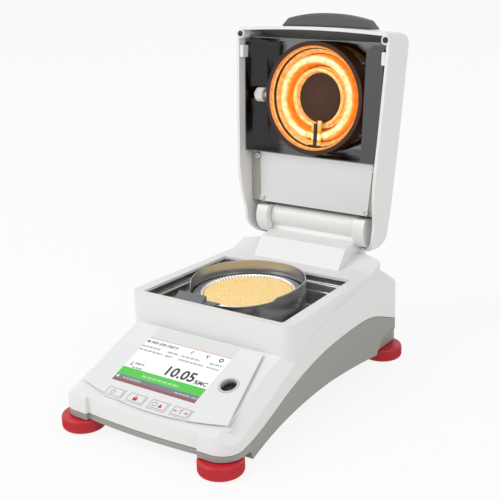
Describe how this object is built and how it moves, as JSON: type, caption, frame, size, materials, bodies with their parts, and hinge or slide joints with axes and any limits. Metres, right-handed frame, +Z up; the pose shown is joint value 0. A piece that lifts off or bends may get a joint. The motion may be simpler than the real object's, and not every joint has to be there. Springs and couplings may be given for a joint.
{
  "type": "moisture analyzer",
  "caption": "Bench moisture analyzer: wedge-shaped balance with a touch display and keys, an open drying chamber with a sample pan, and a tall hinged lid that holds a ring heater.",
  "frame": {"origin": "floor under the middle of the whole object with the lid open, at the feet's pads", "axes": "+X to the user's right along the hinge, -Y towards the user, +Z up"},
  "size_m": [0.1922, 0.3339, 0.3381],
  "materials": {
    "white_shell": "satin white moulded plastic",
    "grey_base": "matt warm grey moulded plastic",
    "steel_screw": "zinc-plated",
    "dark_panel": "matt, fine texture",
    "black_plastic": "matt black",
    "plated_connector": "tin-plated shell",
    "stainless": "polished stainless steel",
    "window_film": "smooth overlay film",
    "screen": "lit touch display",
    "white_key": "satin",
    "vial_glass": "clear, tinted liquid",
    "machined_alloy": "machined",
    "cast_alloy": "as cast",
    "circuit_board": "solder-masked board",
    "brass_pillar": "turned",
    "polished_steel": "ground",
    "dark_grip": "fine matt texture",
    "pan_aluminium": "bright foil",
    "mirror_liner": "mirror-finished sheet",
    "satin_sheet": "satin sheet",
    "gold_reflector": "polished gold-tinted reflector",
    "bronze_cap": "heat-tinted bronze",
    "heater_glass": "halogen tube, glowing",
    "dark_sheet": "matt",
    "black_rubber": "matt",
    "red_wheel": "satin, finely ribbed rim"
  },
  "bodies": {
    "base": {"upper_housing": "white_shell", "lower_housing": "grey_base", "housing_screws": "steel_screw", "rear_panel": "dark_panel", "power_inlet": "black_plastic", "serial_port": "plated_connector", "usb_ports": "plated_connector", "chamber_tray": "stainless", "display_window": "window_film", "display_panel": "screen", "level_bezel": "black_plastic", "level_vial": "vial_glass", "load_cell": "machined_alloy", "cell_bracket": "cast_alloy", "cell_post": "machined_alloy", "main_board": "circuit_board", "board_pillars": "brass_pillar", "power_supply": "circuit_board", "hinge_pin": "polished_steel", "draft_shield": "stainless", "pan_support": "stainless"},
    "lid": {"lid_shell": "white_shell", "lid_ears": "white_shell", "lid_liner": "mirror_liner", "lid_posts": "grey_base", "lid_panel": "satin_sheet", "panel_frame": "grey_base", "panel_screws": "steel_screw", "lamp_reflector": "gold_reflector", "lamp_cap": "bronze_cap", "lamp_tube": "heater_glass", "lamp_posts": "steel_screw", "temperature_sensor": "black_plastic", "side_flap": "dark_sheet", "lid_handle": "dark_grip", "lid_bumpers": "black_rubber", "lid_clips": "white_key"},
    "handler": {"pan_handler": "stainless", "handler_grip": "dark_grip"},
    "pan": {"sample_pan": "pan_aluminium"},
    "key_1": {"key_1": "white_key"},
    "key_2": {"key_2": "white_key"},
    "key_3": {"key_3": "white_key"},
    "key_4": {"key_4": "white_key"},
    "front_left_foot": {"front_left_foot": "black_rubber"},
    "front_left_wheel": {"front_left_wheel": "red_wheel"},
    "front_right_foot": {"front_right_foot": "black_rubber"},
    "front_right_wheel": {"front_right_wheel": "red_wheel"},
    "rear_left_foot": {"rear_left_foot": "black_rubber"},
    "rear_left_wheel": {"rear_left_wheel": "red_wheel"},
    "rear_right_foot": {"rear_right_foot": "black_rubber"},
    "rear_right_wheel": {"rear_right_wheel": "red_wheel"}
  },
  "joints": [
    {"name": "lid_hinge", "type": "hinge", "parent": "base", "child": "lid", "pos_m": [0, 0.1293, 0.1321], "axis": [1, 0, 0], "range_deg": [0, 96.4]},
    {"name": "key_1_press", "type": "slide", "parent": "base", "child": "key_1", "axis": [0, 0.342, -0.9397], "range_m": [0, 0.0005], "stiffness_N_per_m": 300},
    {"name": "key_2_press", "type": "slide", "parent": "base", "child": "key_2", "axis": [0, 0.342, -0.9397], "range_m": [0, 0.0005], "stiffness_N_per_m": 300},
    {"name": "key_3_press", "type": "slide", "parent": "base", "child": "key_3", "axis": [0, 0.342, -0.9397], "range_m": [0, 0.0005], "stiffness_N_per_m": 300},
    {"name": "key_4_press", "type": "slide", "parent": "base", "child": "key_4", "axis": [0, 0.342, -0.9397], "range_m": [0, 0.0005], "stiffness_N_per_m": 300},
    {"name": "handler_lift", "type": "slide", "parent": "base", "child": "handler", "axis": [0, 0, 1], "range_m": [0, 0.005]},
    {"name": "pan_lift", "type": "slide", "parent": "handler", "child": "pan", "axis": [0, 0, 1], "range_m": [0, 0.006]},
    {"name": "front_left_travel", "type": "slide", "parent": "base", "child": "front_left_foot", "axis": [0, 0, -1], "range_m": [0, 0.006]},
    {"name": "front_left_turn", "type": "hinge", "parent": "front_left_foot", "child": "front_left_wheel", "pos_m": [-0.0766, -0.148, 0], "axis": [0, 0, 1], "range_deg": [0, 1710]},
    {"name": "front_right_travel", "type": "slide", "parent": "base", "child": "front_right_foot", "axis": [0, 0, -1], "range_m": [0, 0.006]},
    {"name": "front_right_turn", "type": "hinge", "parent": "front_right_foot", "child": "front_right_wheel", "pos_m": [0.0766, -0.148, 0], "axis": [0, 0, 1], "range_deg": [0, 1710]},
    {"name": "rear_left_travel", "type": "slide", "parent": "base", "child": "rear_left_foot", "axis": [0, 0, -1], "range_m": [0, 0.006]},
    {"name": "rear_left_turn", "type": "hinge", "parent": "rear_left_foot", "child": "rear_left_wheel", "pos_m": [-0.0766, 0.126, 0], "axis": [0, 0, 1], "range_deg": [0, 1710]},
    {"name": "rear_right_travel", "type": "slide", "parent": "base", "child": "rear_right_foot", "axis": [0, 0, -1], "range_m": [0, 0.006]},
    {"name": "rear_right_turn", "type": "hinge", "parent": "rear_right_foot", "child": "rear_right_wheel", "pos_m": [0.0766, 0.126, 0], "axis": [0, 0, 1], "range_deg": [0, 1710]}
  ],
  "couplings": [
    {"joint": "front_left_travel", "follows": "front_left_turn", "m_per_rad": 0.00019894},
    {"joint": "front_right_travel", "follows": "front_right_turn", "m_per_rad": 0.00019894},
    {"joint": "rear_left_travel", "follows": "rear_left_turn", "m_per_rad": 0.00019894},
    {"joint": "rear_right_travel", "follows": "rear_right_turn", "m_per_rad": 0.00019894}
  ]
}
